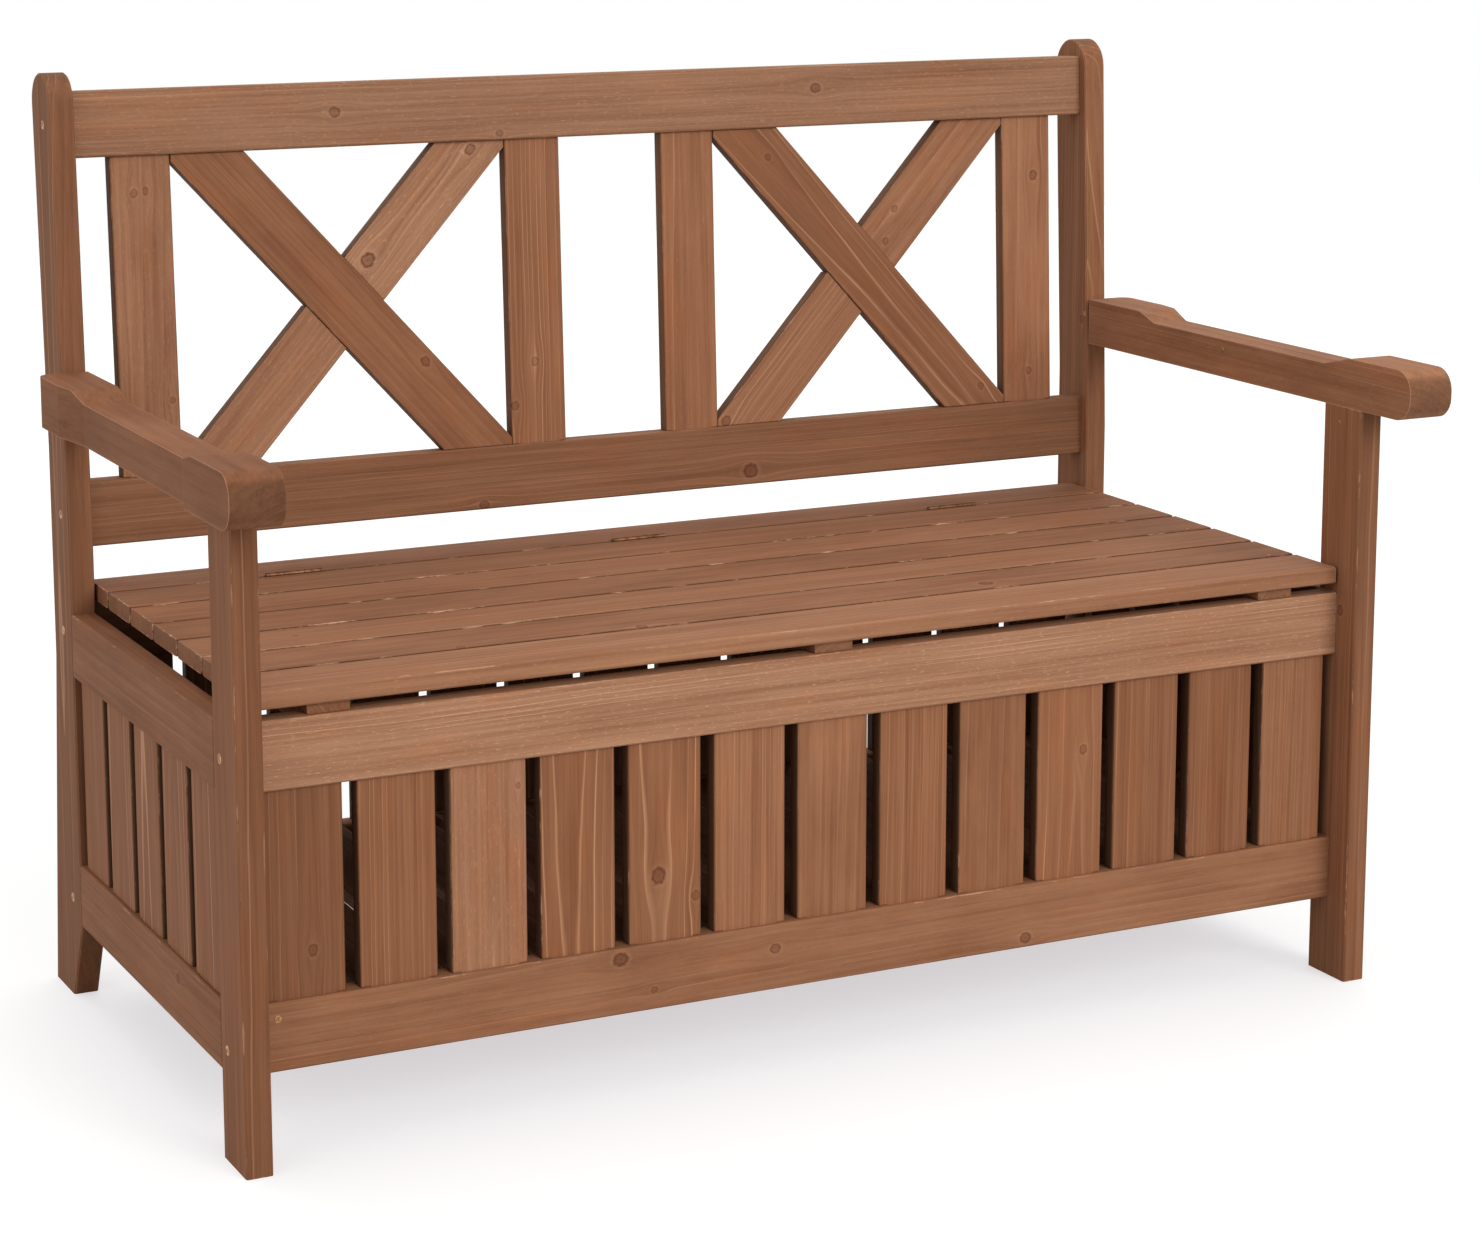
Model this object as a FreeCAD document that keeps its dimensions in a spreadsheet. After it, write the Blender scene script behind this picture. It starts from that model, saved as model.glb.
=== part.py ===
"""Settle bench: slatted storage chest with a hinged seat lid, two arms and a crossed back.

All sizes are in millimetres. X runs along the bench, +Y points to the back and +Z up.
The origin lies on the floor under the middle of the bench's outline.
"""
import FreeCAD, Part
import Sketcher
import math
import os
import re
import sys

V = FreeCAD.Vector
X_AXIS, Y_AXIS, Z_AXIS = V(1, 0, 0), V(0, 1, 0), V(0, 0, 1)

# Driving dimensions: alias, value, meaning
DIMENSIONS = [
    ("half_width", 600.0, "middle of the bench to the outer face of a leg"),
    ("front", -266.0, "front face of the front legs"),
    ("leg_thick", 25.0, "legs and rails are sawn from one thickness"),
    ("leg_depth", 62.0, "front leg, front to back"),
    ("leg_top", 594.0, "top of a front leg, which is the underside of an arm"),
    ("rear_set", 508.0, "front face of the front legs to front face of the rear legs"),
    ("rear_depth", 62.0, "rear leg, front to back, where it is plain"),
    ("rear_top", 932.0, "top of a rear leg"),
    ("crown", 29.5, "rounding of the top of a rear leg"),
    ("bend_height", 500.0, "height where the rear legs begin to lean back"),
    ("bend_rise", 60.0, "how much higher the rear face of a rear leg begins to lean"),
    ("lean_run", 18.0, "how far the lean carries the top of a rear leg back"),
    ("foot_back", 39.0, "how far the rear foot kicks out behind the leg"),
    ("foot_front", 37.0, "how far the front of the rear foot is cut back"),
    ("foot_height", 82.0, "height of the cut on the front of the rear foot"),
    ("flare_height", 350.0, "height where the rear leg begins to flare to its foot"),
    ("edge", 1.6, "bevel along sawn edges"),
    ("rail_set", 32.0, "front face of the front legs to the face of the front rails"),
    ("rail_high", 64.0, "height of a chest rail"),
    ("low_rail", 82.0, "underside of the lower chest rails"),
    ("high_rail", 339.0, "underside of the upper front and side rails"),
    ("rear_wall", 525.0, "front face of the front legs to the face of the rear rails"),
    ("rear_rise", 10.0, "how much higher the upper rear rail sits, to carry the seat"),
    ("slat_thick", 16.0, "wall slats, back slats and crosses"),
    ("slat_wide", 75.0, "wall slats and floor boards"),
    ("slat_pitch", 88.0, "wall slats, centre to centre"),
    ("slat_recess", 5.0, "slat face behind the rail face"),
    ("slat_count", 13.0, "slats in the front wall and in the rear wall"),
    ("side_count", 5.0, "slats in a side wall"),
    ("tenon_long", 8.0, "stub tenon on a slat's end"),
    ("tenon_shoulder", 9.0, "shoulder at each side of a tenon"),
    ("rail_tenon", 12.0, "length of a side rail's tenon"),
    ("rail_tenon_thick", 9.0, "thickness of a side rail's tenon"),
    ("rail_shoulder", 10.0, "shoulder above and below a side rail's tenon"),
    ("floor_thick", 12.0, "floor boards"),
    ("board_play", 1.0, "play at the ends of the floor boards"),
    ("cleat", 20.0, "square cleats that carry the floor boards"),
    ("cleat_drop", 14.0, "floor cleats' top below the top of the lower rails"),
    ("seat_top", 430.0, "top of the seat"),
    ("seat_thick", 17.0, "seat slats"),
    ("seat_half", 572.0, "half the length of a seat slat"),
    ("seat_front", 30.0, "front face of the front legs to the seat's front edge"),
    ("seat_gap", 3.2, "gap between seat slats"),
    ("seat_round", 3.0, "rounded long edges of the seat slats"),
    ("lid_count", 6.0, "slats in the lid"),
    ("lid_wide", 71.0, "lid slats"),
    ("lid_lift", 10.0, "gap between the top of the front rail and the lid"),
    ("fixed_wide", 64.0, "fixed slat behind the lid"),
    ("batten_wide", 40.0, "battens under the lid"),
    ("batten_deep", 24.0, "battens under the lid"),
    ("batten_at", 502.0, "outer battens, from the middle of the bench"),
    ("batten_nose", 6.0, "front of a batten behind the front edge of the lid"),
    ("batten_step", 4.0, "play between the step of a batten and the back of the front rail"),
    ("batten_tail", 4.0, "rear end of a batten in front of the rear edge of the lid"),
    ("bearer_set", 6.0, "front of a bearer behind the hinge pins"),
    ("arm_thick", 50.0, "arm, at its full thickness"),
    ("arm_wide", 50.0, "arm, at its full width"),
    ("arm_dip", 10.0, "how far the top of an arm is cut down between its ends"),
    ("arm_nose", 77.0, "how far an arm reaches in front of the front leg"),
    ("nose_round", 22.0, "rounding of the front end of an arm"),
    ("ramp_top", 24.0, "top of the ramp behind the hand rest"),
    ("ramp_foot", 64.0, "foot of the ramp behind the hand rest"),
    ("ramp_round", 30.0, "rounding at both ends of the ramp"),
    ("step_foot", 376.0, "foot of the step in front of the rear block"),
    ("step_top", 406.0, "top of the step in front of the rear block"),
    ("step_round", 14.0, "rounding at both ends of the step"),
    ("arm_corner", 12.0, "rounding of the outer rear corner of an arm"),
    ("waist", 8.0, "how far the outer side of an arm is cut in between its ends"),
    ("waist_front", 46.0, "front end of the waist"),
    ("waist_slope", 3.0, "length of the slope at the front end of the waist"),
    ("waist_rear", 436.0, "rear end of the waist"),
    ("waist_round", 40.0, "rounding where the waist begins to widen at its rear end"),
    ("back_set", 12.0, "back rails behind the front face of the rear legs"),
    ("back_rail", 65.0, "height of a back rail"),
    ("back_low", -33.0, "underside of the lower back rail from the bend"),
    ("back_high", 350.0, "underside of the top rail from the bend"),
    ("post_wide", 62.0, "upright boards of the back"),
    ("post_outer", 507.0, "outer uprights, from the middle of the bench"),
    ("post_inner", 89.0, "inner uprights, from the middle of the bench"),
    ("post_shoulder", 8.0, "shoulder at each side of an upright's tenon"),
    ("cross_end", 76.0, "length of a cross board's end along a rail"),
    ("cross_clip", 8.0, "length of a cross board's end along an upright"),
    ("cross_set", 4.0, "unbroken cross board behind the face of the rails"),
    ("cross_step", 2.0, "halved cross board behind the unbroken one"),
    ("screw_shank", 4.5, "frame screw diameter"),
    ("screw_head", 9.0, "frame screw head diameter"),
    ("screw_sink", 2.6, "frame screw head depth"),
    ("screw_long", 60.0, "frame screw length"),
    ("screw_low", 23.0, "lower frame screws above the underside of their rails"),
    ("dowel_wide", 10.0, "arm dowel diameter"),
    ("dowel_long", 50.0, "arm dowel length"),
    ("hinge_at", 380.0, "outer hinges, from the middle of the bench"),
    ("hinge_long", 60.0, "length of a hinge"),
    ("hinge_leaf", 1.2, "thickness of a hinge leaf"),
    ("hinge_drop", 13.0, "height of a hinge leaf below its knuckles"),
    ("knuckle", 5.0, "diameter of a hinge knuckle"),
    ("knuckle_play", 0.3, "play at the end of a knuckle and above a leaf"),
    ("pin_wide", 2.5, "diameter of a hinge pin"),
    ("pin_play", 0.05, "play round a hinge pin in the moving knuckles"),
    ("pin_above", 0.5, "height of the hinge pins above the seat"),
    ("past", 5.0, "how far a cut runs past the wood"),
]
KNUCKLES = 3
SCREW_FLATS = 8
LONG_EDGE = 100
SAME = 1e-6
SIDES = {"left": -1, "right": 1}
THREE_PLACES = {"left": "-", "middle": "0 * ", "right": ""}

# Places that several pieces share
INNER = "(half_width - leg_thick)"
LOW_TOP = "(low_rail + rail_high)"
FIRST_SLAT = "(-(slat_count - 1) * slat_pitch / 2)"
FIRST_SIDE = "(front + (leg_depth + rear_set) / 2 - (side_count - 1) * slat_pitch / 2)"
FRONT_RAIL = "(front + rail_set)"
REAR_RAIL = "(front + rear_wall)"
REAR_LEG = "(front + rear_set)"
SEAT_UNDER = "(seat_top - seat_thick)"
LID_REAR = "(front + seat_front + lid_count * lid_wide + (lid_count - 1) * seat_gap)"
PIN_Y = "(%s + seat_gap / 2)" % LID_REAR
PIN_Z = "(seat_top + pin_above)"
PANEL_LOW = "(back_low + back_rail)"
POSTS = ("-post_outer", "-post_inner", "post_inner", "post_outer")
PANELS = {
    "left": ("(-post_outer + post_wide / 2)", "(-post_inner - post_wide / 2)"),
    "right": ("(post_inner + post_wide / 2)", "(post_outer - post_wide / 2)"),
}

doc = FreeCAD.newDocument("settle_bench")
sheet = doc.addObject("Spreadsheet::Sheet", "dims")
for row, (alias, value, meaning) in enumerate(DIMENSIONS, start=1):
    sheet.set("A%d" % row, meaning)
    sheet.set("B%d" % row, "%g" % value)
    sheet.setAlias("B%d" % row, alias)
doc.recompute()

parts = {}


# Sizes from the sheet

def formula(text):
    """Writes the aliases in a formula the way an expression needs them."""
    return re.sub(r"[a-z_]{2,}", lambda m: m.group() if m.group() == "atan"
                  else "<<dims>>." + m.group(), text)


def number(text):
    """Works a formula out as a number, with the values in the sheet."""
    words = re.sub(r"[a-z_]{2,}", lambda m: repr(float(sheet.get(m.group()))), text)
    return FreeCAD.Units.Quantity("(%s)*1 mm" % words).Value


def bind(thing, name, text):
    thing.setExpression(name, formula(text))


def place(thing, x="0", y="0", z="0"):
    """Puts a sub-part at a place worked out from the sheet."""
    for axis, text in zip("xyz", (x, y, z)):
        bind(thing, "Placement.Base." + axis, text)


# Sketches

def origin_part(body, role):
    return next(o for o in body.Origin.OriginFeatures if o.Role == role)


def new_sketch(body, plane, offset, name):
    sketch = body.newObject("Sketcher::SketchObject", name)
    sketch.AttachmentSupport = [(origin_part(body, plane), "")]
    sketch.MapMode = "FlatFace"
    bind(sketch, "AttachmentOffset.Base.z", offset)
    return sketch


def hold(sketch, index, point, spot, texts):
    """Holds one point of a sketch by its two sizes from the sheet."""
    for axis, value, text, line in (("X", spot.x, texts[0], -2), ("Y", spot.y, texts[1], -1)):
        if abs(value) < SAME:
            sketch.addConstraint(Sketcher.Constraint("PointOnObject", index, point, line))
            continue
        made = sketch.addConstraint(
            Sketcher.Constraint("Distance" + axis, -1, 1, index, point, value))
        sketch.setExpression("Constraints[%d]" % made, formula(text))


def outline(body, plane, points, offset="0", name="Outline"):
    """Draws a closed outline, each corner held by two sizes from the sheet."""
    sketch = new_sketch(body, plane, offset, name)
    spots = [V(number(u), number(v), 0) for u, v in points]
    for i, spot in enumerate(spots):
        sketch.addGeometry(Part.LineSegment(spot, spots[(i + 1) % len(spots)]))
    for i in range(len(spots)):
        sketch.addConstraint(Sketcher.Constraint("Coincident", i, 2, (i + 1) % len(spots), 1))
    for i, (spot, texts) in enumerate(zip(spots, points)):
        hold(sketch, i, 1, spot, texts)
    return sketch


def rectangle(u_low, v_low, u_high, v_high):
    return [(u_low, v_low), (u_high, v_low), (u_high, v_high), (u_low, v_high)]


def regular(diameter, count):
    """Corners of a regular figure about the sketch's origin."""
    turns = [2 * math.pi * (i + 0.5) / count for i in range(count)]
    return [("%.6f * %s / 2" % (math.cos(t), diameter), "%.6f * %s / 2" % (math.sin(t), diameter))
            for t in turns]


def circle(body, plane, u, v, diameter, offset="0", name="Circle"):
    sketch = new_sketch(body, plane, offset, name)
    spot = V(number(u), number(v), 0)
    sketch.addGeometry(Part.Circle(spot, Z_AXIS, number(diameter) / 2))
    hold(sketch, 0, 3, spot, (u, v))
    made = sketch.addConstraint(Sketcher.Constraint("Diameter", 0, number(diameter)))
    sketch.setExpression("Constraints[%d]" % made, formula(diameter))
    return sketch


# Features

def new_body(name):
    return doc.addObject("PartDesign::Body", name)


def pad(body, sketch, length, name="Pad"):
    made = body.newObject("PartDesign::Pad", name)
    made.Profile = sketch
    bind(made, "Length", length)
    doc.recompute()
    return made


def pocket(body, sketch, depth, backwards=False, name="Pocket"):
    """Cuts a pocket and makes sure that it took material away."""
    before = body.Tip.Shape.Volume
    made = body.newObject("PartDesign::Pocket", name)
    made.Profile = sketch
    made.Reversed = backwards
    bind(made, "Length", depth)
    doc.recompute()
    if made.Shape.Volume > before - SAME:
        raise RuntimeError("%s in %s cuts nothing" % (name, body.Name))
    return made


def row_of(body, features, axis, length, count, name="Row"):
    """Repeats features along one axis and makes the row the end of the body."""
    made = body.newObject("PartDesign::LinearPattern", name)
    made.Originals = features
    made.Direction = (origin_part(body, axis), [""])
    bind(made, "Length", length)
    bind(made, "Occurrences", count)
    body.Tip = made
    doc.recompute()
    return made


def soften(body, kind, names, size):
    """Bevels or rounds the named edges of the body's last feature."""
    base = body.Tip
    made = body.newObject("PartDesign::" + kind, kind)
    made.Base = (base, names)
    bind(made, "Size" if kind == "Chamfer" else "Radius", size)
    body.Tip = made
    doc.recompute()
    return made


def edges_along(shape, axis, least=LONG_EDGE):
    """Names of the straight edges along an axis that are at least so long."""
    names = []
    for i, edge in enumerate(shape.Edges, start=1):
        if edge.Curve.TypeId != "Part::GeomLine" or edge.Length < least:
            continue
        if abs(abs(edge.tangentAt(edge.FirstParameter).dot(axis)) - 1) < SAME:
            names.append("Edge%d" % i)
    return names


def edges_near(shape, spots, axis, reach=1.0):
    """Names of the edges along an axis that pass near one of the spots."""
    names = []
    for name in edges_along(shape, axis, 0):
        middle = shape.Edges[int(name[len("Edge"):]) - 1].CenterOfMass
        across = [middle - V(*spot) for spot in spots]
        if min((d - axis * d.dot(axis)).Length for d in across) < reach:
            names.append(name)
    return names


# Sub-parts

def keep(label, thing):
    thing.Label = label
    parts[label] = thing
    return thing


def compound(name, members):
    made = doc.addObject("Part::Compound", name)
    made.Links = members
    return made


def fitted(label, blank, tools):
    """Cuts the seats of screws or dowels into a finished blank."""
    blank.Label = label + "_blank"
    cut = doc.addObject("Part::Cut", label + "_fitted")
    cut.Base = blank
    cut.Tool = tools
    return keep(label, cut)


# Legs

def leg_body(name, side, corners):
    """Pads a leg's side outline through its thickness."""
    body = new_body(name)
    start = INNER if side > 0 else "-half_width"
    pad(body, outline(body, "YZ_Plane", corners, start), "leg_thick")
    return body


def rail_mortises(body, side, y_low, y_high):
    """Cuts the mortises for the tenons of the two side rails of one side."""
    for i, low in enumerate(("low_rail", "high_rail")):
        box = rectangle(*tenon_x(side, y_low, y_high))
        drawn = outline(body, "XY_Plane", box, low + " + rail_shoulder", "RailMortise%d" % i)
        pocket(body, drawn, "rail_high - 2 * rail_shoulder", True, "RailMortiseCut%d" % i)


def tenon_x(side, y_low, y_high):
    """Two opposite corners of a side rail's tenon, seen from above."""
    middle = "%d * (half_width - leg_thick / 2)" % side
    return (middle + " - rail_tenon_thick / 2", y_low,
            middle + " + rail_tenon_thick / 2", y_high)


def front_leg(word, side):
    back = "front + leg_depth"
    body = leg_body("front_leg_" + word, side, rectangle("front", "0", back, "leg_top"))
    soften(body, "Chamfer", edges_along(body.Shape, Z_AXIS), "edge")
    rail_mortises(body, side, back + " - rail_tenon", back)
    return body


def rear_leg(word, side):
    """A leg with a flared foot, a bend at the seat and a rounded top."""
    behind = REAR_LEG + " + rear_depth"
    corners = [
        (REAR_LEG + " + foot_front", "0"),
        (behind + " + foot_back", "0"),
        (behind, "flare_height"),
        (behind, "bend_height + bend_rise"),
        (behind + " + lean_run", "rear_top"),
        (REAR_LEG + " + lean_run", "rear_top"),
        (REAR_LEG, "bend_height"),
        (REAR_LEG, "foot_height"),
    ]
    body = leg_body("rear_leg_" + word, side, corners)
    tops = [(0, number(y), number("rear_top"))
            for y in (REAR_LEG + " + lean_run", behind + " + lean_run")]
    soften(body, "Fillet", edges_near(body.Shape, tops, X_AXIS), "crown")
    cheeks = [f for f in body.Shape.Faces if abs(abs(f.normalAt(0, 0).x) - 1) < SAME]
    rim = {e.hashCode() for f in cheeks for e in f.Edges}
    names = ["Edge%d" % i for i, e in enumerate(body.Shape.Edges, start=1)
             if e.hashCode() in rim and e.BoundBox.ZMax > SAME]
    soften(body, "Chamfer", names, "edge")
    rail_mortises(body, side, REAR_LEG, REAR_LEG + " + rail_tenon")
    return body


# Chest walls: rails and slats

def rail(name, x_span, y_span, z_span, along):
    """A straight rail with bevelled long edges."""
    body = new_body(name)
    box = rectangle(x_span[0], y_span[0], x_span[1], y_span[1])
    pad(body, outline(body, "XY_Plane", box, z_span[0]), "(%s) - (%s)" % (z_span[1], z_span[0]))
    soften(body, "Chamfer", edges_along(body.Shape, along), "edge")
    return body


def mortises(body, box, edge_z, upwards, axis, count):
    """Cuts one row of mortises for slat tenons in the edge of a rail."""
    first = pocket(body, outline(body, "XY_Plane", rectangle(*box), edge_z, "Mortise"),
                   "tenon_long", upwards, "FirstMortise")
    row_of(body, [first], axis, "slat_pitch * (%s - 1)" % count, count, "Mortises")


def slat_outline(middle, low, high, half, shoulder):
    """Outline of a slat between two rails, with a stub tenon at each end."""
    left, right = "%s - %s" % (middle, half), "%s + %s" % (middle, half)
    inner_left, inner_right = left + " + " + shoulder, right + " - " + shoulder
    down, up = low + " - tenon_long", high + " + tenon_long"
    return [(inner_left, down), (inner_right, down), (inner_right, low), (right, low),
            (right, high), (inner_right, high), (inner_right, up), (inner_left, up),
            (inner_left, high), (left, high), (left, low), (inner_left, low)]


def slat(name, plane, middle, low, high, offset, half="slat_wide / 2",
         shoulder="tenon_shoulder"):
    """A slat with bevelled long edges, and its two features for a row."""
    body = new_body(name)
    drawn = outline(body, plane, slat_outline(middle, low, high, half, shoulder), offset)
    board = pad(body, drawn, "slat_thick")
    bevelled = soften(body, "Chamfer", edges_along(body.Shape, Z_AXIS), "edge")
    return body, [board, bevelled]


def wall_rails(word, face, rise):
    """The two rails of the front or the rear wall, mortised for its slats."""
    made = []
    slot = (FIRST_SLAT + " - slat_wide / 2 + tenon_shoulder", face + " + slat_recess",
            FIRST_SLAT + " + slat_wide / 2 - tenon_shoulder",
            face + " + slat_recess + slat_thick")
    high = "(high_rail + %s)" % rise
    for level, low, edge_z, upwards in (("lower", "low_rail", LOW_TOP, False),
                                        ("upper", high, high, True)):
        body = rail("%s_%s_rail" % (word, level), ("-" + INNER, INNER),
                    (face, face + " + leg_thick"), (low, low + " + rail_high"), X_AXIS)
        mortises(body, slot, edge_z, upwards, "X_Axis", "slat_count")
        made.append(body)
    return made


def side_wall_x(side):
    """The two X places of a side rail and of its slats, the lower one first."""
    if side > 0:
        return (INNER, "half_width"), ("half_width - slat_recess - slat_thick",
                                       "half_width - slat_recess")
    return ("-half_width", "-" + INNER), ("-half_width + slat_recess",
                                          "-half_width + slat_recess + slat_thick")


def side_rails(word, side):
    made = []
    rail_x, slat_x = side_wall_x(side)
    slot = (slat_x[0], FIRST_SIDE + " - slat_wide / 2 + tenon_shoulder",
            slat_x[1], FIRST_SIDE + " + slat_wide / 2 - tenon_shoulder")
    for level, low, edge_z, upwards in (("lower", "low_rail", LOW_TOP, False),
                                        ("upper", "high_rail", "high_rail", True)):
        body = rail("side_%s_rail_%s" % (level, word), rail_x,
                    ("front + leg_depth", REAR_LEG), (low, low + " + rail_high"), Y_AXIS)
        tongue = tenon_x(side, "front + leg_depth - rail_tenon", REAR_LEG + " + rail_tenon")
        drawn = outline(body, "XY_Plane", rectangle(*tongue), low + " + rail_shoulder", "Tongue")
        pad(body, drawn, "rail_high - 2 * rail_shoulder", "Tenons")
        mortises(body, slot, edge_z, upwards, "Y_Axis", "side_count")
        made.append(body)
    return made


# Arms

def arm(word, side):
    """An arm: stepped side outline, waisted on its outer side, with a rounded nose."""
    body = new_body("arm_" + word)
    top, dip = "leg_top + arm_thick", "leg_top + arm_thick - arm_dip"
    nose = "front - arm_nose"
    corners = [
        (nose, "leg_top"), (REAR_LEG, "leg_top"), (REAR_LEG, top),
        ("front + step_top", top), ("front + step_foot", dip),
        ("front + ramp_foot", dip), ("front + ramp_top", top), (nose, top),
    ]
    start = INNER if side > 0 else "-%s - arm_wide" % INNER
    pad(body, outline(body, "YZ_Plane", corners, start), "arm_wide")
    turns = {
        "nose_round": [(nose, top), (nose, "leg_top")],
        "step_round": [("front + step_top", top), ("front + step_foot", dip)],
        "ramp_round": [("front + ramp_top", top), ("front + ramp_foot", dip)],
    }
    for radius, corners in turns.items():
        spots = [(0, number(y), number(z)) for y, z in corners]
        soften(body, "Fillet", edges_near(body.Shape, spots, X_AXIS), radius)
    waist_cut(body, side)
    return body


def waist_cut(body, side):
    """Cuts the outer side of an arm in, and rounds its rear corner."""
    outer, inner = "(%s + arm_wide)" % INNER, "(%s + arm_wide - waist)" % INNER
    beyond, rear = outer + " + past", "front + waist_rear"
    notch = [(outer, "front + waist_front"), (inner, "front + waist_front + waist_slope"),
             (inner, "front + step_foot"), (outer, rear),
             (beyond, rear), (beyond, "front + waist_front")]
    if side < 0:
        notch = [("-(%s)" % u, v) for u, v in notch]
    drawn = outline(body, "XY_Plane", notch, "leg_top - past", "Waist")
    pocket(body, drawn, "arm_thick + 2 * past", True, "WaistCut")
    for radius, x, y in (("arm_corner", outer, REAR_LEG),
                         ("waist_round", inner, "front + step_foot")):
        spot = (side * number(x), number(y), 0)
        soften(body, "Fillet", edges_near(body.Shape, [spot], Z_AXIS), radius)


# Back: rails, uprights and crosses, drawn upright and leaned back together

def lean(thing):
    """Stands a piece of the back on the bend of the rear legs, leaning with them."""
    thing.Placement.Rotation = FreeCAD.Rotation(X_AXIS, -1)
    place(thing, "0", REAR_LEG + " + back_set", "bend_height")
    for axis, part in zip("xyz", ("-1", "0", "0")):
        bind(thing, "Placement.Rotation.Axis." + axis, part)
    bind(thing, "Placement.Rotation.Angle", "atan(lean_run / (rear_top - bend_height))")
    return thing


def back_rail(level, low, edge_z, upwards):
    body = new_body("back_%s_rail" % level)
    box = rectangle("-" + INNER, "0", INNER, "leg_thick")
    pad(body, outline(body, "XY_Plane", box, low), "back_rail")
    soften(body, "Chamfer", edges_along(body.Shape, X_AXIS), "edge")
    half = "(post_wide / 2 - post_shoulder)"
    for i, middle in enumerate(POSTS):
        box = rectangle("%s - %s" % (middle, half), "slat_recess",
                        "%s + %s" % (middle, half), "slat_recess + slat_thick")
        drawn = outline(body, "XY_Plane", box, edge_z, "Mortise%d" % i)
        pocket(body, drawn, "tenon_long", upwards, "PostMortise%d" % i)
    return lean(body)


def upright(name, middle):
    body, _ = slat(name, "XZ_Plane", middle, PANEL_LOW, "back_high",
                   "-slat_recess - slat_thick", "post_wide / 2", "post_shoulder")
    return lean(body)


def cross_corners(left, right):
    """Outline of the board that falls from left to right across its panel."""
    return [
        (left, "back_high"), (left, "back_high - cross_clip"),
        (right + " - cross_end", PANEL_LOW), (right, PANEL_LOW),
        (right, PANEL_LOW + " + cross_clip"), (left + " + cross_end", "back_high"),
    ]


def cross_board(name, left, right):
    """The unbroken board of a cross."""
    body = new_body(name)
    drawn = outline(body, "XZ_Plane", cross_corners(left, right), "-cross_set - slat_thick")
    pad(body, drawn, "slat_thick")
    return lean(body)


def cross_half(name, left, right, upper):
    """One half of the rising board, cut to fit against the unbroken one."""
    body = new_body(name)
    rising = [("%s + %s - (%s)" % (left, right, u), v) for u, v in cross_corners(left, right)]
    back = "-cross_set - cross_step - slat_thick"
    pad(body, outline(body, "XZ_Plane", rising, back), "slat_thick")
    far_left, far_right = left + " - past", right + " + past"
    if upper:
        away = [(left + " + cross_end", "back_high"), (right, PANEL_LOW + " + cross_clip"),
                (far_right, PANEL_LOW + " + cross_clip"), (far_right, PANEL_LOW + " - past"),
                (far_left, PANEL_LOW + " - past"), (far_left, "back_high")]
    else:
        away = [(left, "back_high - cross_clip"), (right + " - cross_end", PANEL_LOW),
                (far_right, PANEL_LOW), (far_right, "back_high + past"),
                (far_left, "back_high + past"), (far_left, "back_high - cross_clip")]
    cut = outline(body, "XZ_Plane", away, back + " - past", "Away")
    pocket(body, cut, "slat_thick + 2 * past", True, "Halving")
    return lean(body)


# Seat, lid and floor

def seat_slat(name, y_low, y_high):
    body = new_body(name)
    section = rectangle(y_low, SEAT_UNDER, y_high, "seat_top")
    pad(body, outline(body, "YZ_Plane", section, "-seat_half"), "2 * seat_half")
    soften(body, "Fillet", edges_along(body.Shape, X_AXIS), "seat_round")
    return body


def lid_batten(name, middle):
    """A batten under the lid; its nose rests on the front rail."""
    body = new_body(name)
    nose, rear = "front + seat_front + batten_nose", LID_REAR + " - batten_tail"
    step = FRONT_RAIL + " + leg_thick + batten_step"
    section = [(nose, SEAT_UNDER + " - lid_lift"), (step, SEAT_UNDER + " - lid_lift"),
               (step, SEAT_UNDER + " - batten_deep"), (rear, SEAT_UNDER + " - batten_deep"),
               (rear, SEAT_UNDER), (nose, SEAT_UNDER)]
    drawn = outline(body, "YZ_Plane", section, middle + " - batten_wide / 2")
    pad(body, drawn, "batten_wide")
    return body


def seat_bearers():
    """Blocks on the rear rail that carry the fixed slat, one behind each batten."""
    body = new_body("seat_bearers")
    section = rectangle(PIN_Y + " + bearer_set", SEAT_UNDER + " - batten_deep", REAR_RAIL,
                        SEAT_UNDER)
    drawn = outline(body, "YZ_Plane", section, "-batten_at - batten_wide / 2")
    first = pad(body, drawn, "batten_wide")
    row_of(body, [first], "X_Axis", "2 * batten_at", str(len(THREE_PLACES)))
    return body


def floor_cleats():
    """Square cleats along the front and rear lower rails, under the floor boards."""
    top = LOW_TOP + " - cleat_drop"
    spans = {
        "front": (FRONT_RAIL + " + leg_thick", FRONT_RAIL + " + leg_thick + cleat"),
        "rear": (REAR_RAIL + " - cleat", REAR_RAIL),
    }
    return compound("floor_cleats", [
        rail("floor_cleat_" + word, ("-" + INNER, INNER), y_span, (top + " - cleat", top), X_AXIS)
        for word, y_span in spans.items()])


def floor_boards():
    """Short boards from the front rail to the rear one, a gap apart."""
    body = new_body("floor_boards")
    box = rectangle(FIRST_SLAT + " - slat_wide / 2", FRONT_RAIL + " + leg_thick + board_play",
                    FIRST_SLAT + " + slat_wide / 2", REAR_RAIL + " - board_play")
    first = pad(body, outline(body, "XY_Plane", box, LOW_TOP + " - cleat_drop"), "floor_thick")
    row_of(body, [first], "X_Axis", "slat_pitch * (slat_count - 1)", "slat_count")
    return body


# Fasteners

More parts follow.
